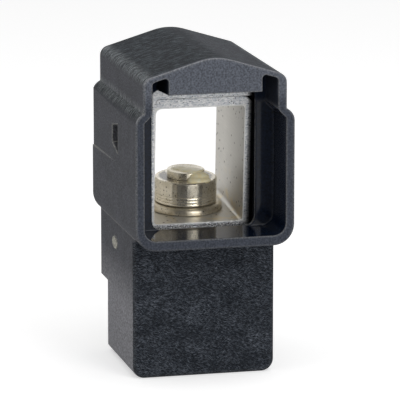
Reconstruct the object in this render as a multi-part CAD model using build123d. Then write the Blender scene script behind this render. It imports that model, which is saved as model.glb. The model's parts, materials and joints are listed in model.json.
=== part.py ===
from build123d import *
import math
import os

# A clip-on mechanical lug for one bare conductor: a folded steel clamp with a
# threaded bush, a clamping screw and a pressure pad, held in a moulded insulating
# housing. All sizes are in millimetres. The part stands on the foot of its stem,
# +Z is up, -Y is the side that the conductor goes in from, and the origin is under
# the middle of the whole part.

# Clamp, a strip of steel folded into a frame with lapped ends. It leans forward.
clamp_lean = 4.44
strip_thickness = 1.55
strip_width = 18.6
opening_width = 14.75
opening_height = 19.3
bend_radius = 0.6
lap_gap = 0.05

# Threaded bush in the floor of the clamp
bush_flange_radius = 6.1
bush_flange_height = 1.15
bush_flange_round = 0.75
bush_flange_foot_edge = 0.1
bush_radius = 5.1
bush_drop = 4.9
bush_edge = 0.35

# Clamping screw with a riveted spigot and a hexagon socket
screw_radius = 4.0
screw_tip_chamfer = 0.6
spigot_radius = 2.4
rivet_radius = 3.1
rivet_height = 1.15
rivet_edge = 0.12
socket_across_flats = 5.0
socket_depth = 5.0
clamp_travel = 12.5

# Pressure pad that turns on the spigot
pad_radius = 5.15
pad_height = 3.95
pad_edge = 0.2
pad_ring_depth = 0.07
pad_ring_pitch = 0.5
pad_rings = 3

# Fits between the pieces
seat_clearance = 0.05
side_clearance = 0.2
thread_clearance = 0.05
pad_clearance = 0.05
pad_rest_gap = 0.15
bush_slot_clearance = 0.3
clamp_front_gap = 0.9

# Housing, walls of the body around the clamp
shell_wall = 1.4
floor_wall = 1.6
front_wall = 1.0
collar_depth = 8.0
back_margin = 2.25
seat_recess = 1.29
body_corner_radius = 3.4
shoulder_step = 1.325
shoulder_rise = 0.64
shoulder_radius = 2.2
inner_shoulder_drop = 0.16
rim_edge_radius = 0.25

# Housing, the head with its pitched roof
head_gap = 1.35
head_margin = 1.92
head_side_height = 5.4
roof_pitch = 16.8
crown_radius = 9.0
eave_radius = 1.6
pocket_roof_wall = 0.85
pocket_corner_radius = 0.6
roof_block_width = 15.2
roof_block_fall = 0.5
roof_rib_wall = 1.2
roof_rib_spacing = 5.0

# Housing, the conductor window in the front wall
window_margin = 1.225
window_top_gap = 0.36
window_top_radius = 1.35
window_bottom_radius = 1.7

# Housing, the stem that shrouds the screw
stem_side_step = 1.2
stem_wall = 1.5
stem_foot_wall = 1.5
stem_corner_radius = 2.0
stem_edge_radius = 0.6
stem_heel_height = 12.3
upper_stem_inset = 0.6
heel_wall = 2.1
heel_facet_run = 5.0
heel_facet_drop = 0.3
tool_hole_radius = 3.2
tool_gap = 5.0

# Housing, small features of the side walls
slot_front = 13.1
slot_width = 4.4
slot_rise = 11.9
slot_height = 4.9
slot_taper_high = 0.85
slot_taper_low = 1.15
draw_step = 0.17
draw_step_front = 14.7
draw_step_rise = 10.3
draw_step_fall = 0.47
guide_rib_wall = 1.2
guide_rib_low = 4.0
guide_rib_high = 17.4
catch_reach = 0.5
catch_length = 1.4
catch_height = 2.4
gate_length = 3.8
gate_width = 2.0
gate_height = 0.15
gate_setback = 20.7
gate_drop = 2.8

# Widths of the clamp, head, body and stem, each one step outside the last
half_opening = opening_width / 2
half_clamp = half_opening + strip_thickness
half_head_inside = half_clamp + head_gap
half_head = half_head_inside + shell_wall
half_body = half_head + shoulder_step
half_inside = half_body - shell_wall
half_stem = half_body - stem_side_step
half_window = half_opening + window_margin

# Heights above the foot, from the screw that the stem has to clear up to the roof
lean_sine = math.sin(math.radians(clamp_lean))
lean_cosine = math.cos(math.radians(clamp_lean))
lap_height = opening_height + strip_thickness + lap_gap
clamp_top = lap_height + strip_thickness
screw_place = strip_width / 2
screw_drop = strip_thickness + bush_drop + clamp_travel
seat_to_clamp_floor = floor_wall - seat_recess + strip_thickness
screw_reach = screw_drop * lean_cosine - screw_place * lean_sine - seat_to_clamp_floor
stem_height = stem_foot_wall + tool_gap + screw_reach
floor_top = stem_height + floor_wall
clamp_height = stem_height + seat_to_clamp_floor
window_top = clamp_height + clamp_top * lean_cosine + window_top_gap
clamp_back_top = clamp_height + clamp_top * lean_cosine + strip_width * lean_sine
eave_height = clamp_back_top + head_margin
shoulder_top = eave_height - head_side_height
shoulder_corner = shoulder_top - shoulder_rise
roof_slope = math.tan(math.radians(roof_pitch))
roof_peak = eave_height + half_head * roof_slope

# Depths behind the rim, from the front wall to the open back
clamp_setback = collar_depth + front_wall + clamp_front_gap + clamp_top * lean_sine
body_depth = clamp_setback + strip_width + back_margin
front = -body_depth / 2
back = body_depth / 2
screw_axis_height = clamp_height + screw_place * lean_sine
foot_axis = clamp_setback + screw_place * lean_cosine + screw_axis_height * lean_sine / lean_cosine
lower_stem_end = foot_axis + tool_hole_radius + heel_wall
upper_stem_end = body_depth - upper_stem_inset

# How far a cutting shape runs past the face that it cuts
overrun = 1.0

os.makedirs("parts", exist_ok=True)


def section(points, radii):
    """Closed outline in the XZ plane, each corner with its own radius."""
    path = FilletPolyline(*[(x, 0, z) for x, z in points], radius=radii, close=True)
    return make_face(path.edges())


def side_section(points):
    """Closed outline in the YZ plane, with sharp corners."""
    path = Polyline(*[(0, y, z) for y, z in points], close=True)
    return make_face(path.edges())


def plan_section(points, height=0):
    """Closed outline in the XY plane, with sharp corners."""
    path = Polyline(*[(x, y, height) for x, y in points], close=True)
    return make_face(path.edges())


def run_back(face, start, length):
    """A section carried backwards from a distance behind the rim."""
    return extrude(Pos(0, front + start, 0) * face, amount=length, dir=(0, 1, 0))


def raised(face, amount):
    """A plan section carried upwards."""
    return extrude(face, amount=amount, dir=(0, 0, 1))


def across(face, width):
    """A side section carried across the part, half to each side."""
    return extrude(face, amount=width / 2, dir=(1, 0, 0), both=True)


def block(x_range, y_range, z_range):
    """A rectangular block between two corners."""
    size = [high - low for low, high in (x_range, y_range, z_range)]
    centre = [(high + low) / 2 for low, high in (x_range, y_range, z_range)]
    return Pos(*centre) * Box(*size)


def in_clamp(shape):
    """Place a shape that is drawn upright, from the front edge of the clamp's floor."""
    return Pos(0, front + clamp_setback, clamp_height) * Rot(clamp_lean, 0, 0) * shape


def on_screw_axis(shape):
    """Place a shape that is drawn about Z, with its zero on the clamp's floor."""
    return in_clamp(Pos(0, screw_place, 0) * shape)


def turned(points):
    """A turned piece from its half outline, given as radius and height."""
    outline = Polyline(*[(radius, 0, height) for radius, height in points], close=True)
    return revolve(make_face(outline.edges()), axis=Axis.Z)


def both_sides(half):
    """The points of the right half, followed by those of the left half."""
    return half + [(-x, z) for x, z in reversed(half)]


def pair(shape):
    """A shape on the right side and its mirror image on the left."""
    return [shape, mirror(shape, about=Plane.YZ)]


def roofed_outline(half, radii, peak):
    """Outline of a body with a pitched roof, from the corners of its right half."""
    points = half + [(0, peak)] + [(-x, z) for x, z in reversed(half)]
    return section(points, radii + [crown_radius] + radii[::-1])


def body_outline():
    """Body and head from the front, as the rim shows them."""
    half = [(half_body, stem_height), (half_body, shoulder_corner),
            (half_head, shoulder_top), (half_head, eave_height)]
    radii = [body_corner_radius, shoulder_radius, 0, eave_radius]
    return roofed_outline(half, radii, roof_peak)


def inside_outline(roof_wall):
    """The hollow of the body and head, one wall inside the outer outline."""
    diagonal_top = shoulder_top - inner_shoulder_drop
    diagonal_low = diagonal_top - (half_inside - half_head_inside)
    eave_inside = eave_height + shell_wall * roof_slope - roof_wall
    half = [(half_inside, floor_top), (half_inside, diagonal_low),
            (half_head_inside, diagonal_top), (half_head_inside, eave_inside)]
    radii = [body_corner_radius - shell_wall, 0, shell_wall, pocket_corner_radius]
    return roofed_outline(half, radii, roof_peak - roof_wall)


def stem_outline(inset, foot):
    """The stem from the front, with two rounded corners at its foot."""
    half = half_stem - inset
    radius = stem_corner_radius - inset
    top = stem_height + floor_wall / 2
    return section(both_sides([(half, foot), (half, top)]), [radius, 0, 0, radius])


def heel_facet():
    """The wedge that takes the rear corner off the lower stem."""
    end = front + lower_stem_end
    corner = [(half_stem, end - heel_facet_run), (half_stem - heel_facet_drop, end),
              (half_stem + overrun, end), (half_stem + overrun, end - heel_facet_run)]
    return raised(plan_section(corner, -overrun), stem_heel_height + overrun)


def stem_shell():
    """Outer form of the stem, stepped at its heel and faceted below the step."""
    shape = run_back(stem_outline(0, 0), collar_depth, upper_stem_end - collar_depth)
    shape -= block((-half_body, half_body), (front + lower_stem_end, back), (-overrun, stem_heel_height))
    for facet in pair(heel_facet()):
        shape -= facet
    upright = shape.edges().filter_by(Axis.Z).group_by(Axis.Y)[0]
    return fillet(upright, radius=stem_edge_radius)


def above_seat(width, drop=0):
    """All that lies above the plane of the clamp's seat, lowered by a drop."""
    low = -strip_thickness - seat_clearance - drop
    corner = [(-body_depth, low), (body_depth, low), (body_depth, body_depth), (-body_depth, body_depth)]
    return in_clamp(across(side_section(corner), width))


def shelf():
    """The leaning shelf between body and stem, which carries the clamp."""
    half = half_stem - stem_wall / 2
    reach = block((-half, half), (front + collar_depth, front + upper_stem_end),
                  (stem_height - floor_wall, floor_top + floor_wall))
    return (reach & above_seat(body_depth, floor_wall)) - above_seat(body_depth)


def bush_slot():
    """The slot in the shelf, open to the back, that the bush slides in along."""
    half = bush_radius + bush_slot_clearance
    low = -strip_thickness - 3 * floor_wall
    slot = block((-half, half), (0, body_depth), (low, 0)) + Pos(0, 0, low / 2) * Cylinder(half, -low)
    return on_screw_axis(slot)


def roof_block():
    """The solid block under the roof of the collar. Its underside falls to the window."""
    slope = roof_block_fall / collar_depth
    run = collar_depth + 2 * overrun
    low_front = window_top + slope * (collar_depth + overrun)
    corner = [(front - overrun, low_front), (front - overrun + run, low_front - slope * run),
              (front - overrun + run, roof_peak), (front - overrun, roof_peak)]
    return across(side_section(corner), roof_block_width)


def collar_hollow():
    """The open collar in front of the window, with a pocket each side of the block."""
    hollow = run_back(inside_outline(pocket_roof_wall), -overrun, collar_depth + overrun)
    hollow -= roof_block()
    block_edges = [edge for edge in hollow.edges().filter_by(Axis.Y)
                   if abs(abs(edge.center().X) - roof_block_width / 2) < seat_clearance
                   and edge.center().Z > shoulder_top]
    return fillet(block_edges, radius=pocket_corner_radius)


def window():
    """The opening in the front wall, level with the collar's floor."""
    points = both_sides([(half_window, floor_top), (half_window, window_top)])
    radii = [window_bottom_radius, window_top_radius, window_top_radius, window_bottom_radius]
    return run_back(section(points, radii), collar_depth - overrun, front_wall + 2 * overrun)


def chamber_hollow():
    """The room around the clamp, open to the back, with the seat cut into its floor."""
    start = collar_depth + front_wall
    room = run_back(inside_outline(shell_wall), start, body_depth - start + overrun)
    half = half_clamp + side_clearance
    seat = block((-half, half), (front + start, back + overrun),
                 (stem_height - floor_wall, floor_top + floor_wall))
    return room + (seat & above_seat(2 * half))


def stem_hollow():
    """The room around the screw, under the shelf and open to the back."""
    start = collar_depth + stem_wall
    room = run_back(stem_outline(stem_wall, stem_foot_wall), start, body_depth - start + overrun)
    return room - above_seat(body_depth, floor_wall)


def guide_ribs():
    """Rails on the inside of both walls, two to a side, that centre the clamp."""
    rails = []
    for height in (guide_rib_low, guide_rib_high):
        rail = block((half_clamp + side_clearance, half_body - shell_wall / 2), (-clamp_setback, strip_width),
                     (height - guide_rib_wall / 2, height + guide_rib_wall / 2))
        rails += [in_clamp(side) for side in pair(rail)]
    return rails


def catches():
    """Two ramped catches behind the clamp, one on each side wall."""
    start = strip_width + side_clearance
    outer = half_body - shell_wall / 2
    inner = half_clamp - catch_reach
    corner = [(outer, start), (inner, start), (inner, start + catch_length / 3),
              (outer, start + 2 * catch_length)]
    low = (guide_rib_low + guide_rib_high - catch_height) / 2
    return [in_clamp(side) for side in pair(raised(plan_section(corner, low), catch_height))]


def roof_ribs():
    """Three ribs along the roof that keep the clamp down on its shelf."""
    ribs = []
    for index in (-1, 0, 1):
        centre = index * roof_rib_spacing
        rib = block((centre - roof_rib_wall / 2, centre + roof_rib_wall / 2),
                    (-clamp_setback, body_depth), (clamp_top + side_clearance, body_depth))
        ribs.append(in_clamp(rib))
    return ribs


def tool_hole():
    """The round hole in the foot, in line with the screw."""
    return on_screw_axis(Pos(0, 0, -screw_axis_height) * Cylinder(tool_hole_radius, 6 * stem_foot_wall))


def side_slot():
    """The tapered slot through one side wall."""
    low = floor_top + slot_rise
    high = low + slot_height
    corner = [(front + slot_front, low), (front + slot_front, high),
              (front + slot_front + slot_width, high - slot_taper_high),
              (front + slot_front + slot_width, low + slot_taper_low)]
    return Pos(half_body, 0, 0) * across(side_section(corner), 2 * shell_wall + overrun)


def draw_recess():
    """The shallow wedge that the mould's side slide leaves above its parting step."""
    start = front + draw_step_front
    high = floor_top + draw_step_rise
    low = high - draw_step_fall
    corner = [(half_body, start), (half_body - draw_step, back), (half_body - draw_step, back + overrun),
              (half_body + overrun, back + overrun), (half_body + overrun, start)]
    above_step = [(start, high), (back, low), (back + overrun, low), (back + overrun, shoulder_top),
                  (start, shoulder_top)]
    wedge = raised(plan_section(corner, low), shoulder_top - low)
    return wedge & across(side_section(above_step), 2 * (half_body + overrun))


def gate_mark():
    """The low oval stub left on the stem's side where the moulding was cut from its runner."""
    oval = Plane.YZ * Ellipse(gate_length / 2, gate_width / 2)
    stub = extrude(oval, amount=gate_height, dir=(1, 0, 0), both=True)
    return Pos(-half_stem, front + gate_setback, stem_height - gate_drop) * stub


def housing():
    """The moulded housing: collar, chamber and stem in one piece."""
    outer = run_back(body_outline(), 0, body_depth)
    rim = outer.faces().sort_by(Axis.Y)[0].edges()
    shape = fillet(rim, radius=rim_edge_radius) + stem_shell() + gate_mark()
    for hollow in (stem_hollow(), collar_hollow(), window(), chamber_hollow()):
        shape -= hollow
    envelope = run_back(body_outline(), collar_depth, body_depth - collar_depth)
    for rib in guide_ribs() + catches() + roof_ribs():
        shape += rib & envelope
    shape += shelf()
    for hole in [bush_slot(), tool_hole()] + pair(side_slot()) + pair(draw_recess()):
        shape -= hole
    return shape


def clamp_cage():
    """The folded strip: the outer end laps over the inner end across the top."""
    lap_start = -half_opening + lap_gap
    points = [(lap_start, opening_height), (half_opening, opening_height), (half_opening, 0),
              (-half_opening, 0), (-half_opening, lap_height), (half_clamp, lap_height),
              (half_clamp, clamp_top), (-half_clamp, clamp_top), (-half_clamp, -strip_thickness),
              (half_clamp, -strip_thickness), (half_clamp, opening_height + strip_thickness),
              (lap_start, opening_height + strip_thickness)]
    outer_bend = bend_radius + strip_thickness
    radii = [0] + [bend_radius] * 4 + [0, 0] + [outer_bend] * 4 + [bend_radius]
    strip = extrude(section(points, radii), amount=strip_width, dir=(0, 1, 0))
    hole = Pos(0, screw_place, 0) * Cylinder(bush_radius + seat_clearance, 4 * strip_thickness)
    return in_clamp(strip - hole)


def threaded_bush():
    """The flanged bush: its flange lies on the clamp's floor and takes the screw's load."""
    bore = screw_radius + thread_clearance
    low = -strip_thickness - bush_drop
    foot = seat_clearance
    points = [(bore, bush_flange_height), (bush_flange_radius, bush_flange_height),
              (bush_flange_radius, foot + bush_flange_foot_edge),
              (bush_flange_radius - bush_flange_foot_edge, foot),
              (bush_radius, foot), (bush_radius, low + bush_edge), (bush_radius - bush_edge, low),
              (bore + bush_edge, low), (bore, low + bush_edge)]
    bush = turned(points)
    top_rim = bush.edges().group_by(Axis.Z)[-1].sort_by(SortBy.RADIUS)[-1]
    return on_screw_axis(fillet(top_rim, radius=bush_flange_round))


# Height of the pad's underside above the clamp's floor, with the screw fully back
pad_foot = bush_flange_height + pad_rest_gap


def clamp_screw():
    """The screw: plain shank at the thread's size, riveted spigot and hexagon socket."""
    shank_top = pad_foot - pad_clearance
    rivet_low = pad_foot + pad_height + pad_clearance
    rivet_top = rivet_low + rivet_height
    points = [(0, rivet_top), (rivet_radius - rivet_edge, rivet_top),
              (rivet_radius, rivet_top - rivet_edge), (rivet_radius, rivet_low),
              (spigot_radius, rivet_low), (spigot_radius, shank_top), (screw_radius, shank_top),
              (screw_radius, screw_tip_chamfer - screw_drop),
              (screw_radius - screw_tip_chamfer, -screw_drop), (0, -screw_drop)]
    socket = RegularPolygon(socket_across_flats / 2, 6, major_radius=False)
    return on_screw_axis(turned(points) - Pos(0, 0, -screw_drop) * raised(socket, socket_depth))


def pressure_pad():
    """The turned pad, with a few fine rings left by the tool near its lower edge."""
    bore = spigot_radius + pad_clearance
    top = pad_foot + pad_height
    points = [(bore, top), (pad_radius - pad_edge, top), (pad_radius, top - pad_edge)]
    for ring in reversed(range(pad_rings)):
        centre = pad_foot + pad_edge + (ring + 0.5) * pad_ring_pitch
        points += [(pad_radius, centre + pad_ring_pitch / 4), (pad_radius - pad_ring_depth, centre),
                   (pad_radius, centre - pad_ring_pitch / 4)]
    points += [(pad_radius, pad_foot + pad_edge / 2), (pad_radius - pad_edge / 2, pad_foot), (bore, pad_foot)]
    return on_screw_axis(turned(points))


export_step(housing(), "parts/housing.step")
export_step(clamp_cage(), "parts/clamp_cage.step")
export_step(threaded_bush(), "parts/threaded_bush.step")
export_step(clamp_screw(), "parts/clamp_screw.step")
export_step(pressure_pad(), "parts/pressure_pad.step")
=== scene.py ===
# %% [markdown]
# # A mechanical lug for one bare conductor
# The object is a small terminal: a folded steel clamp in a dark moulded housing. A screw
# in the stem lifts a round pad, and the pad squeezes the conductor against the clamp's top.
# Its solid parts come from the CAD model, so this lesson adds what the eye wants next to
# them: the real thread, the smear of grease, and a finish for every surface.

# %% Load the frame
import json
import math
import bmesh
import bpy
from mathutils import Matrix, Vector

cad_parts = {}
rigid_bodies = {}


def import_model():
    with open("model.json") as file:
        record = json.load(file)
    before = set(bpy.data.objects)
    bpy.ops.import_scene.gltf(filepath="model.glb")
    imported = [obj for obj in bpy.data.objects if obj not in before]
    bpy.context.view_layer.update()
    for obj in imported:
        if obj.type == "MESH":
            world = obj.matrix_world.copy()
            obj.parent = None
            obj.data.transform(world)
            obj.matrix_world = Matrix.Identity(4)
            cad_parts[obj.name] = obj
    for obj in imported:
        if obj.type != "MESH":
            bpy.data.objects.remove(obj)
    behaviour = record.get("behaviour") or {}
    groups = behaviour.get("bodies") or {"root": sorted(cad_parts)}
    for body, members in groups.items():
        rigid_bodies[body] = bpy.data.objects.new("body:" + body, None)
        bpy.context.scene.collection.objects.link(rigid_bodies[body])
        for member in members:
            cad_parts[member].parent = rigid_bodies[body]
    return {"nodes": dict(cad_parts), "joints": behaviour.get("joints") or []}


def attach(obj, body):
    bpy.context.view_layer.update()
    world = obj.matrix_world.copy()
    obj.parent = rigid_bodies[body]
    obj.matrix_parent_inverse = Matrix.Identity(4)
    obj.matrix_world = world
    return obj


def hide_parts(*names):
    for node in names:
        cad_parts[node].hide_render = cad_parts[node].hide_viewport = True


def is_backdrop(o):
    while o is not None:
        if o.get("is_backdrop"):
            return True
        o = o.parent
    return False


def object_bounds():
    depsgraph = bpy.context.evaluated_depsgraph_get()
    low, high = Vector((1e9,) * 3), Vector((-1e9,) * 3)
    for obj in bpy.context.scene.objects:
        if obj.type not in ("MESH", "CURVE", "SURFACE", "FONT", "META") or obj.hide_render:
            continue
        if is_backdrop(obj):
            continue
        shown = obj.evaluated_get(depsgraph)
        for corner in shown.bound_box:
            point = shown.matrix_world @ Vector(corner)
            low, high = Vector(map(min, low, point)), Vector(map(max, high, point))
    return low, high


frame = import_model()
cad_low, cad_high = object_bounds()
nodes = frame["nodes"]
print("CAD nodes:", ", ".join(sorted(nodes)))

# %% [markdown]
# ## Sizes that everything else is placed by
# The frame is in metres, and small parts are easier to think of in millimetres. The clamp
# leans forward a little, so its pieces are drawn upright about the screw's axis and then
# put in place together. The axis is the one that the screw turns about in the CAD model.

# %% Name the sizes
MM = 0.001
turn_joint = next(joint for joint in frame["joints"] if joint["name"] == "screw_turn")
screw_foot = Vector(turn_joint["pos_m"])
screw_axis = Vector(turn_joint["axis"]).normalized()
lean = math.atan2(-screw_axis.y, screw_axis.z)
clamp_place = Matrix.Translation(screw_foot) @ Matrix.Rotation(lean, 4, "X")
clamp_place_mm = clamp_place @ Matrix.Scale(MM, 4)
print(f"the clamp leans {math.degrees(lean):.2f} degrees forward")

# %% Measure the turned pieces about the screw's axis
def about_axis(node):
    """Lowest height, highest height and largest radius of a node, in mm, about the screw."""
    upright = clamp_place_mm.inverted()
    points = [upright @ vertex.co for vertex in nodes[node].data.vertices]
    heights = [point.z for point in points]
    return min(heights), max(heights), max(point.xy.length for point in points)


screw_low, rivet_top, screw_radius = about_axis("clamp_screw")
pad_low, pad_top, pad_radius = about_axis("pressure_pad")
print(f"screw {screw_low:.2f} to {rivet_top:.2f} mm, radius {screw_radius:.2f} mm")
print(f"pad {pad_low:.2f} to {pad_top:.2f} mm, radius {pad_radius:.2f} mm")

# %% [markdown]
# ## Camera
# A product photograph of a small part is taken from far away with a long lens, so that
# upright edges stay nearly parallel. The camera stands a little to the left and above, and
# its place, turn and lens were worked out from the straight edges of the housing.

# %% Set the camera
camera_place = Vector((-134.5, -553.94, 147.6)) * MM
camera_turn_left = math.radians(13.785)
camera_tip_down = math.radians(11.905)
camera_lens = 320.8

camera_data = bpy.data.cameras.new("camera")
camera_data.lens = camera_lens
camera = bpy.data.objects.new("camera", camera_data)
bpy.context.scene.collection.objects.link(camera)
camera.location = camera_place
camera.rotation_euler = (math.pi / 2 - camera_tip_down, 0, -camera_turn_left)
bpy.context.scene.camera = camera
bpy.context.scene.view_settings.view_transform = "Standard"
print(f"the camera stands {camera_place.length / MM:.0f} mm away")

# %% [markdown]
# ## Colours and nodes
# Colours are written as they look on a screen, in sRGB, and shaders want them linear, so
# one function turns one into the other. Another adds a node, sets it, and links it. A
# socket is called by its name or its number. Map Range takes its value as 0, what it comes
# from as 1 and 2, and what it goes to as 3 and 4. Mix takes its colours as 6 and 7.

# %% Helpers for materials
def linear(code):
    """An sRGB hex colour as linear red, green, blue and alpha."""
    parts = [int(code[i:i + 2], 16) / 255 for i in (1, 3, 5)]
    return [c / 12.92 if c <= 0.04045 else ((c + 0.055) / 1.055) ** 2.4 for c in parts] + [1]


def add(tree, kind, sockets, result=0, **settings):
    """Add a node with its settings, and fill or link its sockets.

    It gives the result with this name or number, or every result where that is None.
    """
    made = tree.nodes.new("ShaderNode" + kind)
    for name, value in settings.items():
        setattr(made, name, value)
    for name, value in sockets.items():
        if isinstance(value, bpy.types.NodeSocket):
            tree.links.new(value, made.inputs[name])
        else:
            made.inputs[name].default_value = value
    return made.outputs if result is None or not made.outputs else made.outputs[result]


def new_material(name):
    """An empty material, and its node tree."""
    material = bpy.data.materials.new(name)
    material.use_nodes = True
    material.node_tree.nodes.clear()
    return material, material.node_tree


def finish_material(tree, sockets):
    """Give a material its shader, with these values and links, and its output."""
    shader = add(tree, "BsdfPrincipled", sockets)
    add(tree, "OutputMaterial", {"Surface": shader})


print("white is", [round(c, 2) for c in linear("#FFFFFF")[:3]])

# %% [markdown]
# ## Floor and surroundings
# The part stands on a plain white table. Its top is matt laminate, which takes no highlight,
# so that only the part's soft shadow shows on it. It has to look white without pouring more
# light on the part, so rays from the camera, from gloss and through clear things find it a
# little brighter than it is. It is still shaded where the part keeps the light off it. It
# lies a hair below the stem's foot, so that no two faces share one place.

# %% Lay the floor
floor_size = 3.0
floor_gap = 0.01 * MM
table_glow = 0.45
bpy.ops.object.select_all(action="DESELECT")
bpy.ops.mesh.primitive_plane_add(size=floor_size, location=(0, 0, cad_low.z - floor_gap))
floor = bpy.context.object
floor.name = "floor"
floor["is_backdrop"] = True


def seen_ray(tree):
    """1 for the rays that see a surface: from the camera, from gloss, through clear things."""
    path = add(tree, "LightPath", {}, result=None)
    seen = add(tree, "Math", {0: path["Is Camera Ray"], 1: path["Is Glossy Ray"]},
               operation="MAXIMUM")
    return add(tree, "Math", {0: seen, 1: path["Is Transmission Ray"]}, operation="MAXIMUM")


white_table, tree = new_material("white_laminate_table")
glow = add(tree, "Math", {0: seen_ray(tree), 1: table_glow}, operation="MULTIPLY")
finish_material(tree, {"Base Color": linear("#EBEBEB"), "Roughness": 0.9,
                       "Specular IOR Level": 0.0, "Emission Color": linear("#FFFFFF"),
                       "Emission Strength": glow})
floor.data.materials.append(white_table)
print(f"the floor is {floor_size} m wide")

# %% Light the surroundings
world = bpy.data.worlds.new("studio")
world.use_nodes = True
bpy.context.scene.world = world
tree = world.node_tree
tree.nodes.clear()
room_light = 0.42
strength = add(tree, "MapRange", {0: seen_ray(tree), 3: room_light, 4: 1.0})
room = add(tree, "Background", {"Color": linear("#FFFFFF"), "Strength": strength})
add(tree, "OutputWorld", {"Surface": room})
print("the room gives", room_light)

# %% [markdown]
# ## Studio lights, dark screens and a white card
# Soft boxes light the part evenly. Metal and smooth plastic mirror what stands around
# them, and if all of that is white they look flat, so a studio puts dark screens where
# the reflections need an edge, and a white card where a hollow would stay dark. Here they
# show in reflections only: two round screens of black felt, which is dark from every side
# and has no shine, stand about the part, and a small card, matt and faintly glowing, stands
# inside the clamp against its left wall, beside the pad. It glows though it is no lamp, and
# puts a painted reflection of that wall, lit, into the pad. The card is clear from behind,
# or the clamp's wall next to it would mirror its back.

# %% Set the lights
def soft_box(name, place, size, brightness):
    """A rectangular lamp that looks at the part. Brightness is its face's, 1 being white."""
    data = bpy.data.lights.new(name, "AREA")
    data.shape = "RECTANGLE"
    data.size, data.size_y = size
    data.energy = brightness * math.pi * size[0] * size[1]
    lamp = bpy.data.objects.new(name, data)
    bpy.context.scene.collection.objects.link(lamp)
    aim = Vector((0, 0, (cad_low.z + cad_high.z) / 2)) - Vector(place)
    lamp.location = place
    lamp.rotation_euler = aim.to_track_quat("-Z", "Y").to_euler()


soft_box("left_box", (-0.55, -0.10, 0.30), (0.40, 0.50), 1.1)
soft_box("top_box", (0.05, -0.10, 0.65), (0.50, 0.50), 1.5)
soft_box("right_front_box", (0.23, -0.575, 0.30), (0.30, 0.50), 2.9)

# %% A helper that selects by place
def select_in_edit(test):
    """In edit mode, select the vertices that pass a test of their place, and nothing else."""
    shape = bmesh.from_edit_mesh(bpy.context.object.data)
    for vertex in shape.verts:
        vertex.select = test(vertex.co)
    shape.select_flush_mode()
    bmesh.update_edit_mesh(bpy.context.object.data)


print("vertices can be picked by their place")

# %% Let only reflections see a thing
def reflection_only(thing, material):
    """Dress a piece of the stage, and hide it from every ray but those from gloss."""
    thing.data.materials.append(material)
    for ray in ("camera", "diffuse", "transmission", "volume_scatter", "shadow"):
        setattr(thing, "visible_" + ray, False)
    thing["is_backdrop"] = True


print("a thing can be kept for reflections")

# %% Stand the dark screens
screen_material, tree = new_material("black_felt")
finish_material(tree, {"Base Color": linear("#1B1C1F"), "Roughness": 0.9,
                       "Specular IOR Level": 0.0})
screen_radius = 0.07
screen_height = 0.20


def dark_screen(name, first, last):
    """A round screen between two bearings, in degrees to the right of the front."""
    bpy.ops.object.select_all(action="DESELECT")
    bpy.ops.mesh.primitive_cylinder_add(vertices=120, radius=screen_radius, depth=screen_height,
                                        location=(0, 0, screen_height / 2),
                                        end_fill_type="NOTHING")
    screen = bpy.context.object
    screen.name = name
    bpy.ops.object.mode_set(mode="EDIT")
    bpy.ops.mesh.select_mode(type="VERT")
    select_in_edit(lambda place:
                   not first <= math.degrees(math.atan2(place.x, -place.y)) <= last)
    bpy.ops.mesh.delete(type="VERT")
    bpy.ops.object.mode_set(mode="OBJECT")
    reflection_only(screen, screen_material)


dark_screen("screen_left_of_front", -47, -5)
dark_screen("screen_right", 42, 140)
print("screens stand", screen_radius, "m from the part")

# %% Slip a white card in beside the pad
card_material, tree = new_material("white_card")
back = add(tree, "NewGeometry", {}, result="Backfacing")
front = add(tree, "Math", {0: 1.0, 1: back}, operation="SUBTRACT")
card_glow = 0.22
finish_material(tree, {"Base Color": linear("#FFFFFF"), "Roughness": 0.9,
                       "Specular IOR Level": 0.0, "Emission Color": linear("#FFFAF2"),
                       "Emission Strength": card_glow, "Alpha": front})
card_middle = (-7.2, 0.0, 6.0)
card_side = 12
bpy.ops.object.select_all(action="DESELECT")
bpy.ops.mesh.primitive_plane_add(size=1)
card = bpy.context.object
card.name = "card_beside_pad"
lie_upright = Matrix.Translation(card_middle) @ Matrix.Rotation(math.pi / 2, 4, "Y")
card.matrix_world = clamp_place_mm @ lie_upright @ Matrix.Diagonal((card_side, card_side, 1, 1))
reflection_only(card, card_material)
print("the card is", card_side, "by", card_side, "mm")

# %% [markdown]
# ## The screw's thread
# The CAD screw has a plain shank at the thread's size. The real one is threaded from end
# to end: M8, with a ridge every 1.25 mm, and a hexagon socket in its low end. A thread
# could be faked by a bump, but the stem is open at the back and its ridges show in
# outline. So one ridge is drawn as a line of five edges and a Screw modifier winds it.

# %% Measures for modelling
# In mm: places closer than this count as one, and a cutter stands this far past what it cuts.
same_place = 0.001
cut_excess = 1
smooth_below = math.radians(32)
print("edges that bend less than", round(math.degrees(smooth_below)), "degrees look smooth")


# %% Helpers for modelling
def apply_modifier(piece, kind, **settings):
    """Add a modifier with its settings and apply it."""
    modifier = piece.modifiers.new(kind.lower(), kind)
    for name, value in settings.items():
        setattr(modifier, name, value)
    bpy.context.view_layer.objects.active = piece
    bpy.ops.object.modifier_apply(modifier=modifier.name)


def combine(piece, other, operation):
    """Join, cut or intersect a piece with another, which is used up."""
    apply_modifier(piece, "BOOLEAN", object=other, operation=operation, solver="EXACT")
    bpy.data.objects.remove(other)


def add_cylinder(radius, low, high, sides=96):
    """An upright cylinder about the screw's axis, in millimetres."""
    bpy.ops.object.select_all(action="DESELECT")
    bpy.ops.mesh.primitive_cylinder_add(vertices=sides, radius=radius, depth=high - low,
                                        location=(0, 0, (low + high) / 2))
    bpy.ops.object.transform_apply(location=True, rotation=True, scale=True)
    return bpy.context.object


def bevel_rim(height, width, segments=3):
    """Round the rim of the active cylinder at one height."""
    bpy.ops.object.mode_set(mode="EDIT")
    bpy.ops.mesh.select_mode(type="VERT")
    select_in_edit(lambda place: abs(place.z - height) < same_place)
    bpy.ops.mesh.bevel(offset=width, segments=segments, affect="EDGES")
    bpy.ops.object.mode_set(mode="OBJECT")


print("modelling helpers ready")

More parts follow.
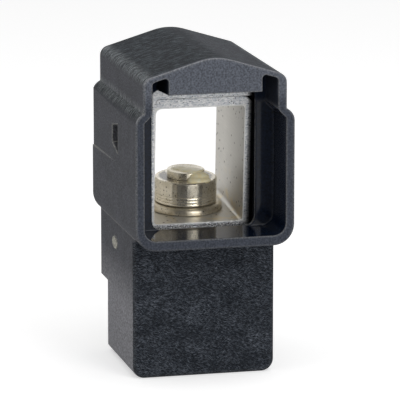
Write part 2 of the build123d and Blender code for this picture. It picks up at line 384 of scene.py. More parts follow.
# %% Draw one ridge of the thread
thread_pitch = 1.25
metric_depth = 0.613
thread_depth = metric_depth * thread_pitch
thread_root = screw_radius - thread_depth

bpy.ops.object.select_all(action="DESELECT")
bpy.ops.mesh.primitive_plane_add(size=thread_pitch, rotation=(math.pi / 2, 0, 0),
                                 location=(thread_root + thread_pitch / 2, 0, thread_pitch / 2))
bpy.ops.object.transform_apply(location=True, rotation=True, scale=True)
screw = bpy.context.object
screw.name = "threaded_screw"

bpy.ops.object.mode_set(mode="EDIT")
bpy.ops.mesh.select_mode(type="VERT")
select_in_edit(lambda place: place.x > thread_root + thread_pitch / 2)
bpy.ops.mesh.delete(type="VERT")
bpy.ops.mesh.select_all(action="SELECT")

# Each inner point of the ridge stands out so far, at so many sixteenths of the pitch. A point
# that has been moved waits out of the way, so that it isn't picked again.
ridge = [(0, 2), (thread_depth, 7), (thread_depth, 9), (0, 14)]
ridge_edges = len(ridge) + 1
bpy.ops.mesh.subdivide(number_cuts=len(ridge))
wait_up = 10
for step, (rise, sixteenths) in enumerate(ridge, start=1):
    start_height = step * thread_pitch / ridge_edges
    select_in_edit(lambda place: abs(place.z - start_height) < same_place
                   and abs(place.x - thread_root) < same_place)
    lift = sixteenths * thread_pitch / 16 - start_height + wait_up
    bpy.ops.transform.translate(value=(rise, 0, lift))
select_in_edit(lambda place: place.z > wait_up / 2)
bpy.ops.transform.translate(value=(0, 0, -wait_up))
bpy.ops.object.mode_set(mode="OBJECT")
print("ridge of", len(screw.data.vertices), "points")

# %% Wind the ridge up the shank and trim it
shank_gap = 0.05
shank_top = pad_low - shank_gap
rod_excess = 0.2
spare_turns = 3
steps_a_turn = 48
turns = math.ceil((shank_top - screw_low) / thread_pitch) + spare_turns
apply_modifier(screw, "SCREW", screw_offset=thread_pitch, iterations=turns, steps=steps_a_turn,
               render_steps=steps_a_turn, axis="Z", use_merge_vertices=False,
               use_smooth_shade=False)
screw.location = (0, 0, screw_low - spare_turns / 2 * thread_pitch)
bpy.ops.object.select_all(action="DESELECT")
screw.select_set(True)
bpy.ops.object.transform_apply(location=True, rotation=True, scale=True)

bpy.ops.object.mode_set(mode="EDIT")
bpy.ops.mesh.select_all(action="SELECT")
bpy.ops.mesh.remove_doubles(threshold=same_place)
for height, direction in ((screw_low - rod_excess, -1), (shank_top + rod_excess, 1)):
    bpy.ops.mesh.select_all(action="SELECT")
    bpy.ops.mesh.bisect(plane_co=(0, 0, height), plane_no=(0, 0, direction), use_fill=True,
                        clear_outer=True)
bpy.ops.mesh.select_all(action="SELECT")
bpy.ops.mesh.normals_make_consistent(inside=False)
bpy.ops.object.mode_set(mode="OBJECT")
print("threaded rod:", len(screw.data.polygons), "faces")

# %% Point the tip, add the riveted head and cut the socket
tip_chamfer = 0.6
spigot_radius = 2.4
spigot_root = 0.5
rivet_radius = 3.1
rivet_height = 1.15
rivet_edge = 0.12
key_size = 5.0
socket_corner = key_size / 2 / math.cos(math.pi / 6)
socket_depth = 5.0

blank = add_cylinder(screw_radius, screw_low, shank_top)
bevel_rim(screw_low, tip_chamfer, segments=1)
combine(screw, blank, "INTERSECT")
spigot = add_cylinder(spigot_radius, shank_top - spigot_root, rivet_top - rivet_height / 2)
combine(screw, spigot, "UNION")
rivet = add_cylinder(rivet_radius, rivet_top - rivet_height, rivet_top)
bevel_rim(rivet_top, rivet_edge)
combine(screw, rivet, "UNION")
socket = add_cylinder(socket_corner, screw_low - cut_excess, screw_low + socket_depth, sides=6)
combine(screw, socket, "DIFFERENCE")
print("screw:", len(screw.data.polygons), "faces")


# %% Put the screw in its place
def put_in_clamp(piece, body):
    """Lean a piece that was drawn upright in millimetres into the clamp, and let it ride."""
    bpy.ops.object.select_all(action="DESELECT")
    piece.matrix_world = clamp_place_mm
    piece.select_set(True)
    bpy.context.view_layer.objects.active = piece
    bpy.ops.object.transform_apply(location=True, rotation=True, scale=True)
    bpy.ops.object.shade_smooth_by_angle(angle=smooth_below)
    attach(piece, body)


put_in_clamp(screw, "screw_body")
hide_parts("clamp_screw")
print("the screw's box is", [round(side / MM, 1) for side in screw.dimensions], "mm")

# %% [markdown]
# ## The grease
# The maker puts a dab of grease on the riveted end, and it has run over its edge onto
# the pad. It could be sculpted, but a few flattened balls that are melted together by a
# voxel remesh and smoothed have the same soft outline, and stay easy to move. The dab on
# the rivet turns with the screw, and what lies on the pad stays with the pad.

# %% Melt balls into a smear
voxel_size = 0.09
smooth_rounds = 14
film_gap = 0.01


def smear(name, balls, floor_height):
    """Flattened balls, each with its centre and radii in mm, melted and cut off flat below."""
    bpy.ops.object.select_all(action="DESELECT")
    for centre, radii in balls:
        bpy.ops.mesh.primitive_ico_sphere_add(subdivisions=3, radius=1, location=centre,
                                              scale=radii)
    made = [thing for thing in bpy.data.objects if thing.name.startswith("Icosphere")]
    for thing in made:
        thing.select_set(True)
    bpy.context.view_layer.objects.active = made[0]
    bpy.ops.object.join()
    piece = bpy.context.object
    piece.name = name
    bpy.ops.object.transform_apply(location=True, rotation=True, scale=True)
    apply_modifier(piece, "REMESH", mode="VOXEL", voxel_size=voxel_size)
    apply_modifier(piece, "SMOOTH", factor=0.5, iterations=smooth_rounds)
    bpy.ops.object.mode_set(mode="EDIT")
    bpy.ops.mesh.select_all(action="SELECT")
    bpy.ops.mesh.bisect(plane_co=(0, 0, floor_height), plane_no=(0, 0, -1), use_fill=True,
                        clear_outer=True)
    bpy.ops.object.mode_set(mode="OBJECT")
    print(name, len(piece.data.polygons), "faces")
    return piece


dab_sink = 0.36
dab_height = rivet_top - dab_sink
dab_setback = 0.03
rivet_dab = smear("grease_on_rivet", [
    ((-0.85, 0.35, dab_height), (1.9, 1.7, 0.66)),
    ((0.45, -0.85, dab_height), (2.3, 1.9, 0.68)),
    ((1.45, -1.95, dab_height), (2.3, 2.0, 0.68)),
], rivet_top + film_gap)
rivet_reach = add_cylinder(rivet_radius - dab_setback, rivet_top - cut_excess, rivet_top + cut_excess)
combine(rivet_dab, rivet_reach, "INTERSECT")
put_in_clamp(rivet_dab, "screw_body")

# %% Let the grease run onto the pad
pad_run = smear("grease_on_pad", [
    ((1.50, -2.80, pad_top + 0.56), (1.75, 1.05, 0.82)),
    ((2.15, -2.70, pad_top + 0.45), (1.20, 1.15, 0.80)),
    ((1.05, -3.60, pad_top + 0.10), (1.65, 1.10, 0.62)),
    ((2.10, -3.50, pad_top + 0.10), (1.35, 1.10, 0.60)),
], pad_top + film_gap)
rivet_gap = add_cylinder(rivet_radius + film_gap, pad_top - cut_excess, rivet_top + cut_excess)
combine(pad_run, rivet_gap, "DIFFERENCE")
put_in_clamp(pad_run, "pad_body")

# %% [markdown]
# ## Patterns that several finishes share
# Every pattern reads the place on the part in millimetres, so that its grain has a real
# size. For the clamp's pieces the place is turned upright first, so that a turned piece
# has its axis along Z. Glass fibres are 0.01 mm thick, lathe grooves stand 0.05 mm apart
# and the pits in a plated skin measure 0.05 mm. None of that would show in a picture of
# the whole part, so all three are drawn several times as coarse.

# %% Patterns
def place_in_mm(tree, upright):
    """The place on the part in millimetres, about the screw's foot if upright is true."""
    spot = add(tree, "TexCoord", {}, result="Object")
    origin = screw_foot if upright else Vector()
    turn = (lean if upright else 0, 0, 0)
    return add(tree, "Mapping", {"Vector": spot, "Location": origin, "Rotation": turn,
                                 "Scale": (MM, MM, MM)}, vector_type="TEXTURE")


def grain(tree, spot, sizes, low, high, turn=(0, 0, 0), detail=2.0):
    """Noise with blotches of these sizes in mm, turned as a whole, stretched between low and high."""
    scaled = add(tree, "Mapping", {"Vector": spot, "Rotation": turn, "Scale": sizes},
                 vector_type="TEXTURE")
    value = add(tree, "TexNoise", {"Vector": scaled, "Scale": 1.0, "Detail": detail})
    return add(tree, "MapRange", {0: value, 1: low, 2: high})


def pits(tree, spot, spacing, share, size):
    """Round pits of a size in mm: one cell in so many has one."""
    cells = add(tree, "TexVoronoi", {"Vector": spot, "Scale": 1 / spacing}, result=None)
    edge = size / spacing / 2
    dot = add(tree, "MapRange", {0: cells["Distance"], 1: edge, 2: edge * 0.6})
    chance = add(tree, "SeparateColor", {0: cells["Color"]})
    chosen = add(tree, "Math", {0: chance, 1: share}, operation="LESS_THAN")
    return add(tree, "Math", {0: dot, 1: chosen}, operation="MULTIPLY")


def zone(tree, limits, softness=0.05):
    """1 where every value is past its edge, else 0. The way is 1 for above and -1 for below."""
    share = 1.0
    for value, edge, way in limits:
        past = add(tree, "MapRange", {0: value, 1: edge - way * softness, 2: edge + way * softness})
        share = add(tree, "Math", {0: share, 1: past}, operation="MULTIPLY")
    return share


def layered(tree, skin, layers):
    """Lay colours over a skin, one after another, each as strongly as its share says."""
    for share, colour in layers:
        over = linear(colour) if isinstance(colour, str) else colour
        skin = add(tree, "Mix", {0: share, 6: skin, 7: over}, result=2, data_type="RGBA")
    return skin


print("patterns ready")

# %% [markdown]
# ## The housing: glass-filled polyamide
# The housing is moulded from polyamide with short glass fibres in it, blue-black in
# colour. The mould was spark-eroded outside, which leaves a matt skin, and polished inside,
# where the plastic mirrors the metal beside it. Where it flowed along a polished wall, as
# on the stem's front, the fibres lie at the surface as fine pale scratches, and rubbed
# edges are paler too. That paleness also stands for the highlight that a rounded edge
# catches, so the pale edges are partly wear and partly painted highlight. A Bevel node finds
# those edges by how far it bends the normal, and it finds inside corners as well, which are
# neither rubbed nor lit that way, so those are taken out by place. The top front edge of the
# head has a pale line of its own, a painted highlight, and the eaves and shoulders carry
# short pale streaks, a painted highlight where these rounded edges catch the light.
#
# Some of what looks like the skin's colour is light and shade, such as the paler sides near
# the stem's foot, the dark left slope and shoulder of the head, and the paler front face of
# the roof block, which is painted light from above. The stem's front is darker, partly for
# its smoother skin and partly as a painted dark reflection of the room in front of it. All
# of that is drawn into the colour, because the lamps here don't make it. Only the collar is
# drawn polished, because the hollow behind and above it would mirror the white room and
# look lit.

# %% Housing sizes for the finish
shell_wall = 1.4
stem_height = 22.8
floor_wall = 1.6
floor_top = stem_height + floor_wall
collar_depth = 8.0
roof_angle = math.radians(16.8)
roof_slope = math.tan(roof_angle)
roof_peak = 53.94
eave_height = 50.4
shoulder_height = 45.0
shoulder_drop = 3.0
block_low = 47.0
head_inset = 1.325
half_body = cad_high.x / MM
half_head = half_body - head_inset
half_stem = 11.8
housing_front = cad_low.y / MM
housing_back = cad_high.y / MM
window_wall = housing_front + collar_depth
print(f"the rim lies at {housing_front:.2f} mm, the wall with the window at {window_wall:.2f} mm")

# %% The stub that the moulding gate left on the stem's left side
gate_setback = 20.7
gate_height = 20.0
gate_length = 3.8
gate_width = 2.0
gate_edge = 0.95
gate_proud = 0.06
gate_middle = (0, housing_front + gate_setback, gate_height)
print("the stub is", gate_length, "by", gate_width, "mm")

# %% Zones of the housing
housing_material, tree = new_material("glass_filled_polyamide")
spot = place_in_mm(tree, upright=False)
x, y, z = add(tree, "SeparateXYZ", {0: spot}, result=None)
side = add(tree, "Math", {0: x}, operation="ABSOLUTE")
roof_fall = add(tree, "Math", {0: side, 1: roof_slope, 2: z}, operation="MULTIPLY_ADD")

true_normal = add(tree, "NewGeometry", {}, result="Normal")
facing_up = add(tree, "SeparateXYZ", {0: true_normal}, result=2)

# Each limit of the hollow stands a little off a surface, so that all of that surface falls
# on one side of it. The shell's lining steps in above the shoulders.
lining = add(tree, "MapRange", {0: z, 1: shoulder_height - 0.15, 2: shoulder_height + 0.05,
                                3: half_body - shell_wall, 4: half_head - shell_wall})
past_lining = add(tree, "Math", {0: side, 1: lining}, operation="SUBTRACT")
hollow = zone(tree, [(past_lining, 0.04, -1), (z, floor_top - 0.15, 1),
                     (roof_fall, roof_peak - 0.6, -1), (y, housing_front + 0.3, 1),
                     (y, housing_back - 0.1, -1)])

rim_back = housing_front + 0.12
rim = zone(tree, [(y, rim_back, -1)], 0.1)
# The front face of the roof block is drawn paler: painted light from above.
block = zone(tree, [(y, rim_back, -1), (z, block_low, 1)], 1.2)
# The stem's front is drawn darker: partly its smoother skin, partly a painted dark reflection of the
# room in front.
stem_front = zone(tree, [(y, window_wall + 0.3, -1), (z, stem_height - 0.05, -1)])

roof_skin = roof_peak - 0.5
roof = zone(tree, [(roof_fall, roof_skin, 1)], 0.2)
left_slope = zone(tree, [(roof_fall, roof_skin, 1), (x, 1.5, -1)], 1.0)
left_shoulder = zone(tree, [(facing_up, 0.40, 1), (x, 1 - half_head, -1),
                            (z, shoulder_height - shoulder_drop, 1),
                            (z, shoulder_height + 0.3, -1)], 0.3)
# A pale line along the top front edge of the head: a painted highlight.
front_edge_highlight = zone(tree, [(facing_up, 0.30, 1), (y, housing_front + 0.40, -1),
                         (y, housing_front + 0.08, 1), (z, shoulder_height - 2, 1)], 0.08)
print("zones:", len(tree.nodes), "nodes")

# %% Zone of the gate's stub
# The stub is an oval on a side wall, so the distance from its middle is measured along the
# wall, in shares of its half length and half width. Only what stands proud of the wall is it.
from_gate = add(tree, "Mapping", {"Vector": spot, "Location": gate_middle,
                                  "Scale": (1, gate_length / 2, gate_width / 2)},
                vector_type="TEXTURE")
from_gate = add(tree, "VectorMath", {0: from_gate, 1: (0, 1, 1)}, operation="MULTIPLY")
gate_distance = add(tree, "VectorMath", {0: from_gate}, result=1, operation="LENGTH")
gate = zone(tree, [(gate_distance, gate_edge, -1), (x, -half_stem - gate_proud, -1)])
print("with the stub:", len(tree.nodes), "nodes")

# %% Fibres of the housing
# Each layer of fibres: its scratches' sizes in mm, their turn, a shift that makes it differ
# from the next, and how high the noise has to be to show.
fibre_contrast = 0.24
fibre_layers = [
    ((0.75, 1.0, 0.08), (0, math.radians(16), 0), (3, 5, 7), 0.52),
    ((0.55, 1.0, 0.08), (0, math.radians(-26), 0), (13, 5, 2), 0.54),
    ((0.55, 1.0, 0.08), (0, math.radians(42), 0), (7, 15, 12), 0.54),
    ((3.2, 1.0, 0.07), (0, math.radians(15), 0), (9, 2, 31), 0.66),
]
stem_fibres = 0.0
for sizes, turn, shift, low in fibre_layers:
    shifted = add(tree, "VectorMath", {0: spot, 1: shift}, operation="ADD")
    layer = grain(tree, shifted, sizes, low, low + fibre_contrast, turn)
    places = grain(tree, shifted, (3.5, 3.5, 3.5), 0.25, 0.62)
    layer = add(tree, "Math", {0: layer, 1: places}, operation="MULTIPLY")
    stem_fibres = add(tree, "Math", {0: stem_fibres, 1: layer}, operation="MAXIMUM")
stem_fibres = add(tree, "Math", {0: stem_fibres, 1: stem_front}, operation="MULTIPLY")

roof_fibres = grain(tree, spot, (1.6, 0.22, 1.0), 0.50, 0.72, (0, 0, math.radians(-12)), detail=3.0)
roof_fibres = add(tree, "Math", {0: roof_fibres, 1: roof}, operation="MULTIPLY")
side_fibres = grain(tree, spot, (1.0, 0.7, 0.13), 0.62, 0.78, (math.radians(-8), 0, 0), detail=1.0)
print("with fibres:", len(tree.nodes), "nodes")

# %% Painted highlight streaks along the eaves and shoulders
band_edge, band_core = 1.3, 0.2
sides_from, sides_full = 9.4, 10.6
eave_highlight_bands = 0.0
for height in (eave_height, shoulder_height):
    distance = add(tree, "Math", {0: z, 1: height}, operation="SUBTRACT")
    distance = add(tree, "Math", {0: distance}, operation="ABSOLUTE")
    band = add(tree, "MapRange", {0: distance, 1: band_edge, 2: band_core})
    eave_highlight_bands = add(tree, "Math", {0: eave_highlight_bands, 1: band}, operation="MAXIMUM")
at_sides = add(tree, "MapRange", {0: side, 1: sides_from, 2: sides_full})
eave_highlight_bands = add(tree, "Math", {0: eave_highlight_bands, 1: at_sides}, operation="MULTIPLY")
eave_highlight_streaks = grain(tree, spot, (1.5, 0.22, 1.6), 0.42, 0.66, detail=3.0)
eave_highlight_streaks = add(tree, "Math", {0: eave_highlight_streaks, 1: eave_highlight_bands}, operation="MULTIPLY")
print("with drag marks:", len(tree.nodes), "nodes")

# %% Rubbed edges of the housing, partly a painted edge highlight
# The normals agree fully on a flat face, and less the nearer the edge is.
edge_radius = 0.42 * MM
flat_agreement, edge_agreement = 0.998, 0.92
rounded = add(tree, "Bevel", {"Radius": edge_radius}, samples=6)
agreement = add(tree, "VectorMath", {0: rounded, 1: true_normal}, result=1, operation="DOT_PRODUCT")
rubbed_and_highlit_edges = add(tree, "MapRange", {0: agreement, 1: flat_agreement, 2: edge_agreement})

# Neither the rubbing nor the painted edge highlight reaches the hollow or the inside corner on each
# shoulder, and little of it the mouth.
at_shoulder = zone(tree, [(z, shoulder_height - shoulder_drop, 1), (z, shoulder_height + 0.45, -1),
                          (side, half_head - 0.3, 1), (y, housing_front + 1, 1)])
in_mouth = zone(tree, [(past_lining, 0.5, -1), (y, housing_front + 0.5, -1)], 0.1)
mouth_shelter = 0.6
in_mouth = add(tree, "Math", {0: in_mouth, 1: mouth_shelter}, operation="MULTIPLY")
for sheltered in (hollow, at_shoulder, in_mouth):
    open_to_edge_marks = add(tree, "Math", {0: 1.0, 1: sheltered}, operation="SUBTRACT")
    rubbed_and_highlit_edges = add(tree, "Math", {0: rubbed_and_highlit_edges, 1: open_to_edge_marks}, operation="MULTIPLY")
print("with rubbed edges:", len(tree.nodes), "nodes")

# %% Colour of the housing
clouds = grain(tree, spot, (4.0, 4.0, 4.0), 0.35, 0.65)
paler_below, palest_below = 18.5, 11.0
near_foot = add(tree, "MapRange", {0: z, 1: paler_below, 2: palest_below})
speckle = grain(tree, spot, (0.30, 0.30, 0.30), 0.28, 0.72, detail=3.0)
skin = layered(tree, linear("#46474B"), [
    (clouds, "#4B4C51"),
    (side_fibres, "#585A61"),
    (near_foot, "#7B7B7F"),
    (roof, "#404146"),
    (left_slope, "#12171B"),
    (left_shoulder, "#171C20"),
    (roof_fibres, "#596166"),
    (eave_highlight_streaks, "#85898B"),
    (stem_front, "#0F141B"),
    (stem_fibres, "#737983"),
    (hollow, "#0F1828"),
    (rim, "#3F434C"),
    (block, "#6A6E77"),
    (rubbed_and_highlit_edges, "#929290"),
    (front_edge_highlight, "#85868A"),
])
spark = add(tree, "MapRange", {0: speckle, 3: 0.50, 4: 1.50})
skin = add(tree, "VectorMath", {0: skin, "Scale": spark}, operation="SCALE")

stub_grain = grain(tree, spot, (1.0, 0.16, 0.5), 0.40, 0.62, (math.radians(30), 0, 0))
stub_skin = layered(tree, linear("#6B6A66"), [(stub_grain, "#C4C1B4")])
skin = layered(tree, skin, [(gate, stub_skin)])
print("with colours:", len(tree.nodes), "nodes")

# %% Gloss and relief of the housing
in_collar = zone(tree, [(y, window_wall + 2.5, -1), (z, shoulder_height + 0.2, -1)], 0.5)
polished = add(tree, "Math", {0: hollow, 1: in_collar}, operation="MULTIPLY")
sparked_roughness, polished_roughness = 0.92, 0.08
roughness = add(tree, "MapRange", {0: polished, 3: sparked_roughness, 4: polished_roughness})
grain_height = add(tree, "MapRange", {0: hollow, 3: 0.5, 4: 0.02})
relief = add(tree, "Bump", {"Strength": grain_height, "Distance": 0.03 * MM, "Height": speckle,
                            "Normal": rounded})
finish_material(tree, {"Base Color": skin, "Roughness": roughness, "Normal": relief,
                       "Specular IOR Level": 0.22})
print("housing material has", len(tree.nodes), "nodes")

# %% [markdown]
# ## The clamp: tin-plated steel strip
# The strip was sheared from sheet and folded, so it has two sorts of skin. Its broad
# faces are smooth, pale and softly bright, as tin plate is, with a few pits, and low down
# they are paler and warmer in blotches. Its sheared edges, which face the camera, are torn
# and grainy, and the sheared face below the opening is speckled dark, which is painted
# shade. Shearing rolls the edge over on the side where the blade goes in, which is outside
# here, and the rolled part is drawn dark, which is painted shade too. On the other side,
# round the opening, it leaves a burr, drawn as a white line: a real burr with a painted
# highlight on it. The walls inside are drawn darker towards the front, which is painted
# shade. The plate is drawn as less than fully metallic, so that it isn't black where it
# mirrors something dark.

# %% Clamp sizes for the finish
strip_half_width = 9.3
opening_half_width = 7.375
opening_height = 19.3
strip_thickness = 1.55
sheared_depth = 0.06
burr_width = 0.17
roll_start = 0.20
roll_drop = 0.62
print("the opening is", opening_half_width * 2, "by", opening_height, "mm")

# %% Sheared edge, burr and rolled edge
cage_material, tree = new_material("tin_plated_steel_strip")
spot = place_in_mm(tree, upright=True)
x, y, z = add(tree, "SeparateXYZ", {0: spot}, result=None)
side = add(tree, "Math", {0: x}, operation="ABSOLUTE")
depth = add(tree, "Math", {0: y}, operation="ABSOLUTE")
sheared = zone(tree, [(depth, strip_half_width - sheared_depth, 1)], 0.03)
from_middle = add(tree, "Math", {0: z, 1: opening_height / 2}, operation="SUBTRACT")
from_middle = add(tree, "Math", {0: from_middle}, operation="ABSOLUTE")
past_height = add(tree, "Math", {0: from_middle, 1: opening_height / 2}, operation="SUBTRACT")
past_width = add(tree, "Math", {0: side, 1: opening_half_width}, operation="SUBTRACT")
past_edge = add(tree, "Math", {0: past_height, 1: past_width}, operation="MAXIMUM")
# A real burr round the opening, drawn white: a painted highlight on it.
burr_and_highlight = zone(tree, [(past_edge, burr_width, -1)], 0.07)
rolled = add(tree, "MapRange", {0: past_width, 1: roll_start, 2: strip_thickness})
# The outer part of each side strip's sheared face, where it rolls over, is drawn dark: painted shade.
rolled_edge_shade = add(tree, "MapRange", {0: past_width, 1: strip_thickness * 0.3,
                                     2: strip_thickness * 0.75})
rolled = add(tree, "Math", {0: rolled, 1: 2.0}, operation="POWER")
rolled = add(tree, "Math", {0: rolled, 1: -roll_drop}, operation="MULTIPLY")
print("the sheared edge:", len(tree.nodes), "nodes")

# %% Grain, pits and marks of the clamp
torn = grain(tree, spot, (0.34, 0.34, 0.20), 0.38, 0.62, detail=4.0)
sheets = grain(tree, spot, (2.0, 1.0, 0.14), 0.45, 0.72)
blotches = grain(tree, spot, (2.5, 4.0, 2.5), 0.35, 0.65)
brushed = grain(tree, spot, (0.2, 5.0, 0.2), 0.35, 0.65)
# Paler, warmer blotches low on the walls.
paler_low_blotches = grain(tree, spot, (3.0, 3.0, 2.2), 0.50, 0.70)
wall_low, wall_high = 1.0, 7.0
low_down = add(tree, "MapRange", {0: z, 1: wall_high, 2: wall_low})
paler_low_blotches = add(tree, "Math", {0: paler_low_blotches, 1: low_down}, operation="MULTIPLY")
# The walls inside are drawn darker towards the front and higher up: painted shade.
lit_depth = 6
towards_front = add(tree, "MapRange", {0: y, 1: strip_half_width - lit_depth, 2: -strip_half_width})
high_up = add(tree, "MapRange", {0: z, 1: wall_low, 2: wall_high})
towards_front = add(tree, "Math", {0: towards_front, 1: high_up}, operation="MULTIPLY")
black_grit = pits(tree, spot, 0.36, 0.34, 0.19)
# The sheared face of the strip below the opening is speckled dark: painted shade under the housing's
# collar.
speckled_low_shade = grain(tree, spot, (0.20, 0.30, 0.20), 0.40, 0.60, detail=4.0)
low_shade_from, low_shade_full = -0.15, -0.45
low_strip = add(tree, "MapRange", {0: z, 1: low_shade_from, 2: low_shade_full})
speckled_low_shade = add(tree, "Math", {0: speckled_low_shade, 1: low_strip}, operation="MULTIPLY")
few_pits = pits(tree, spot, 1.2, 0.60, 0.46)
print("with grain and pits:", len(tree.nodes), "nodes")

# %% Colour, gloss and relief of the clamp
torn_skin = layered(tree, linear("#C2C8D0"), [
    (torn, "#FFFFFF"),
    (sheets, "#FFFFFF"),
    (black_grit, "#2E2B28"),
    (speckled_low_shade, "#1E1D1E"),
    (burr_and_highlight, "#FFFFFC"),
    (rolled_edge_shade, "#16171A"),
])
skin = layered(tree, linear("#D2CFC8"), [
    (blotches, "#DAD7D0"),
    (brushed, "#D0CDC6"),
    (towards_front, "#A8A59E"),
    (paler_low_blotches, "#E0D2B2"),
    (few_pits, "#4F463A"),
    (sheared, torn_skin),
])
on_floor = zone(tree, [(z, 0.4, -1), (side, opening_half_width - 0.2, -1)], 0.2)
wall_roughness, floor_roughness = 0.50, 0.34
roughness = add(tree, "MapRange", {0: on_floor, 3: wall_roughness, 4: floor_roughness})
roll_share = add(tree, "Math", {0: rolled, 1: sheared}, operation="MULTIPLY")
soft_edges = add(tree, "Bevel", {"Radius": 0.10 * MM}, samples=4)
rolled_normal = add(tree, "Bump", {"Strength": 1.0, "Distance": MM, "Height": roll_share,
                                   "Normal": soft_edges})
torn_height = add(tree, "MapRange", {0: sheared, 3: 0.08, 4: 0.8})
relief = add(tree, "Bump", {"Strength": torn_height, "Distance": 0.06 * MM, "Height": torn,
                            "Normal": rolled_normal})
finish_material(tree, {"Base Color": skin, "Metallic": 0.6, "Roughness": roughness,
                       "Normal": relief})
print("clamp material has", len(tree.nodes), "nodes")

# %% [markdown]
# ## The fold in the opening's top left corner
# The strip's inner lap ends in this corner. On the real clamp the press has squeezed it
# round the tool, so that the corner is rounded inside, and the CAD model has it sharp. A
# bar is laid along the corner and hollowed by a cylinder, which leaves the missing fillet.
# Its ends stand a hair behind the sheared edge, so that no two faces share one place.

# %% Round the corner
fold_radius = 1.0
bar_bite = 0.15
end_setback = 0.005
bar_low = Vector((-opening_half_width - bar_bite, end_setback - strip_half_width,
                  opening_height - fold_radius))
bar_high = Vector((fold_radius - opening_half_width, strip_half_width - end_setback,
                   opening_height + bar_bite))
bpy.ops.object.select_all(action="DESELECT")
bpy.ops.mesh.primitive_cube_add(size=1, location=(bar_low + bar_high) / 2, scale=bar_high - bar_low)
fold_fillet = bpy.context.object
fold_fillet.name = "fold_fillet"
bpy.ops.object.transform_apply(location=True, rotation=True, scale=True)
bpy.ops.object.select_all(action="DESELECT")
bpy.ops.mesh.primitive_cylinder_add(vertices=64, radius=fold_radius,
                                    depth=2 * strip_half_width + cut_excess,
                                    location=(bar_high.x, 0, bar_low.z),
                                    rotation=(math.pi / 2, 0, 0))
combine(fold_fillet, bpy.context.object, "DIFFERENCE")
put_in_clamp(fold_fillet, "lug_body")
print("the fillet has", len(fold_fillet.data.polygons), "faces")

# %% [markdown]
# ## Turned steel: pad, bush and screw
# A lathe leaves fine grooves round the axis. They spread each highlight across the
# grooves, so that the side of the pad shows upright bands and its top a bow of light and
# dark. An anisotropic shader does that if it is told which way the grooves run, and they
# run at right angles to the axis and to the radius. The pad is nickel-plated, warm and the
# brightest of the three. The screw's zinc and the plating on the bush are duller. On both
# sides of the rivet the pad's top is drawn dark blue as well, a painted reflection of the
# dark part of that bow.

# %% Turned material
dark_reflection_from = 2.7


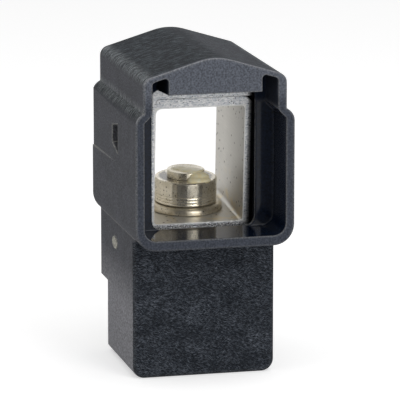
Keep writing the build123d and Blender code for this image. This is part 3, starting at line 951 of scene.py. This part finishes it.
def turned_steel(name, light, dark, roughness, groove_pitch, pit_share, dark_reflection_to=0.0):
    """Plated steel turned about the screw's axis. Its top carries a painted dark reflection out to a
    radius in mm.
    """
    material, tree = new_material(name)
    spot = place_in_mm(tree, upright=True)
    outward = add(tree, "VectorMath", {0: spot, 1: (1, 1, 0)}, operation="MULTIPLY")
    along = add(tree, "VectorMath", {0: (0, 0, 1), 1: outward}, operation="CROSS_PRODUCT")
    leaned = add(tree, "Mapping", {"Vector": along, "Rotation": (lean, 0, 0)}, vector_type="VECTOR")
    grooves_run = add(tree, "VectorTransform", {0: leaned}, vector_type="VECTOR",
                      convert_from="OBJECT", convert_to="WORLD")
    radius = add(tree, "VectorMath", {0: outward}, result=1, operation="LENGTH")
    across, _, height = add(tree, "SeparateXYZ", {0: spot}, result=None)
    profile = add(tree, "Math", {0: radius, 1: height}, operation="ADD")
    ring_place = add(tree, "Math", {0: profile, 1: 1 / groove_pitch}, operation="MULTIPLY")
    rings = add(tree, "TexNoise", {"W": ring_place, "Scale": 1.0, "Detail": 3.0},
                noise_dimensions="1D")
    blotches = grain(tree, spot, (1.5, 1.5, 1.5), 0.35, 0.65)
    dents = grain(tree, spot, (0.35, 0.35, 0.35), 0.25, 0.75, detail=3.0)
    dark_pits = pits(tree, spot, 0.40, pit_share, 0.26)

    # Dark blue on the pad's top on both sides of the rivet: a painted reflection.
    dark_reflection = grain(tree, spot, (1.4, 1.4, 4.0), 0.30, 0.44)
    aside = add(tree, "Math", {0: across}, operation="ABSOLUTE")
    near_rivet = zone(tree, [(height, pad_top - 0.1, 1), (radius, dark_reflection_to, -1),
                             (aside, dark_reflection_from, 1)], 0.2)
    dark_reflection = add(tree, "Math", {0: dark_reflection, 1: near_rivet}, operation="MULTIPLY")

    skin = layered(tree, linear(light), [
        (blotches, dark),
        (dark_pits, "#5A5248"),
        (dark_reflection, "#1F2338"),
    ])
    rough = add(tree, "MapRange", {0: dents, 3: roughness - 0.05, 4: roughness + 0.07})
    soft_edges = add(tree, "Bevel", {"Radius": 0.12 * MM}, samples=4)
    turned = add(tree, "Bump", {"Strength": 0.25, "Distance": 0.02 * MM, "Height": rings,
                                "Normal": soft_edges})
    relief = add(tree, "Bump", {"Strength": 0.24, "Distance": 0.02 * MM, "Height": dents,
                                "Normal": turned})
    finish_material(tree, {"Base Color": skin, "Metallic": 0.78, "Roughness": rough,
                           "Normal": relief, "Anisotropic": 0.75, "Anisotropic Rotation": 0.25,
                           "Tangent": grooves_run})
    print(name, "has", len(tree.nodes), "nodes")
    return material


pad_material = turned_steel("turned_nickel_plated_steel", "#EDE7D8", "#DAD2BE", 0.20, 0.14, 0.45,
                            dark_reflection_to=4.4)
bush_material = turned_steel("turned_bush_steel", "#DCD4C2", "#C4BAA4", 0.30, 0.18, 0.20)
screw_material = turned_steel("zinc_plated_screw_steel", "#E2DCCB", "#CFC6B0", 0.28, 0.16, 0.12)

# %% [markdown]
# ## Grease
# Lithium grease is a cream paste. Light scatters under its skin, so its shadows are soft,
# and the skin itself is wet and takes small sharp highlights on its lumps.

# %% Grease material
grease_material, tree = new_material("lithium_grease")
spot = place_in_mm(tree, upright=True)
lumps = grain(tree, spot, (0.6, 0.6, 0.6), 0.30, 0.70)
cream = layered(tree, linear("#FFEFBE"), [(lumps, "#FFF8DA")])
relief = add(tree, "Bump", {"Strength": 0.35, "Distance": 0.12 * MM, "Height": lumps})
finish_material(tree, {"Base Color": cream, "Roughness": 0.28, "IOR": 1.47,
                       "Subsurface Weight": 0.1, "Subsurface Scale": 0.15 * MM,
                       "Subsurface Radius": (1.0, 0.9, 0.7), "Normal": relief})
print("grease material has", len(tree.nodes), "nodes")


# %% Dress the pieces
def dress(piece, material):
    """Give a piece one material in place of what it has."""
    piece.data.materials.clear()
    piece.data.materials.append(material)


dress(nodes["housing"], housing_material)
dress(nodes["clamp_cage"], cage_material)
dress(fold_fillet, cage_material)
dress(nodes["threaded_bush"], bush_material)
dress(nodes["pressure_pad"], pad_material)
dress(screw, screw_material)
dress(rivet_dab, grease_material)
dress(pad_run, grease_material)

# %% Compare the boxes and finish
low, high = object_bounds()
print("CAD box", [round(v / MM, 2) for v in (*cad_low, *cad_high)], "mm")
print("visual box", [round(v / MM, 2) for v in (*low, *high)], "mm")
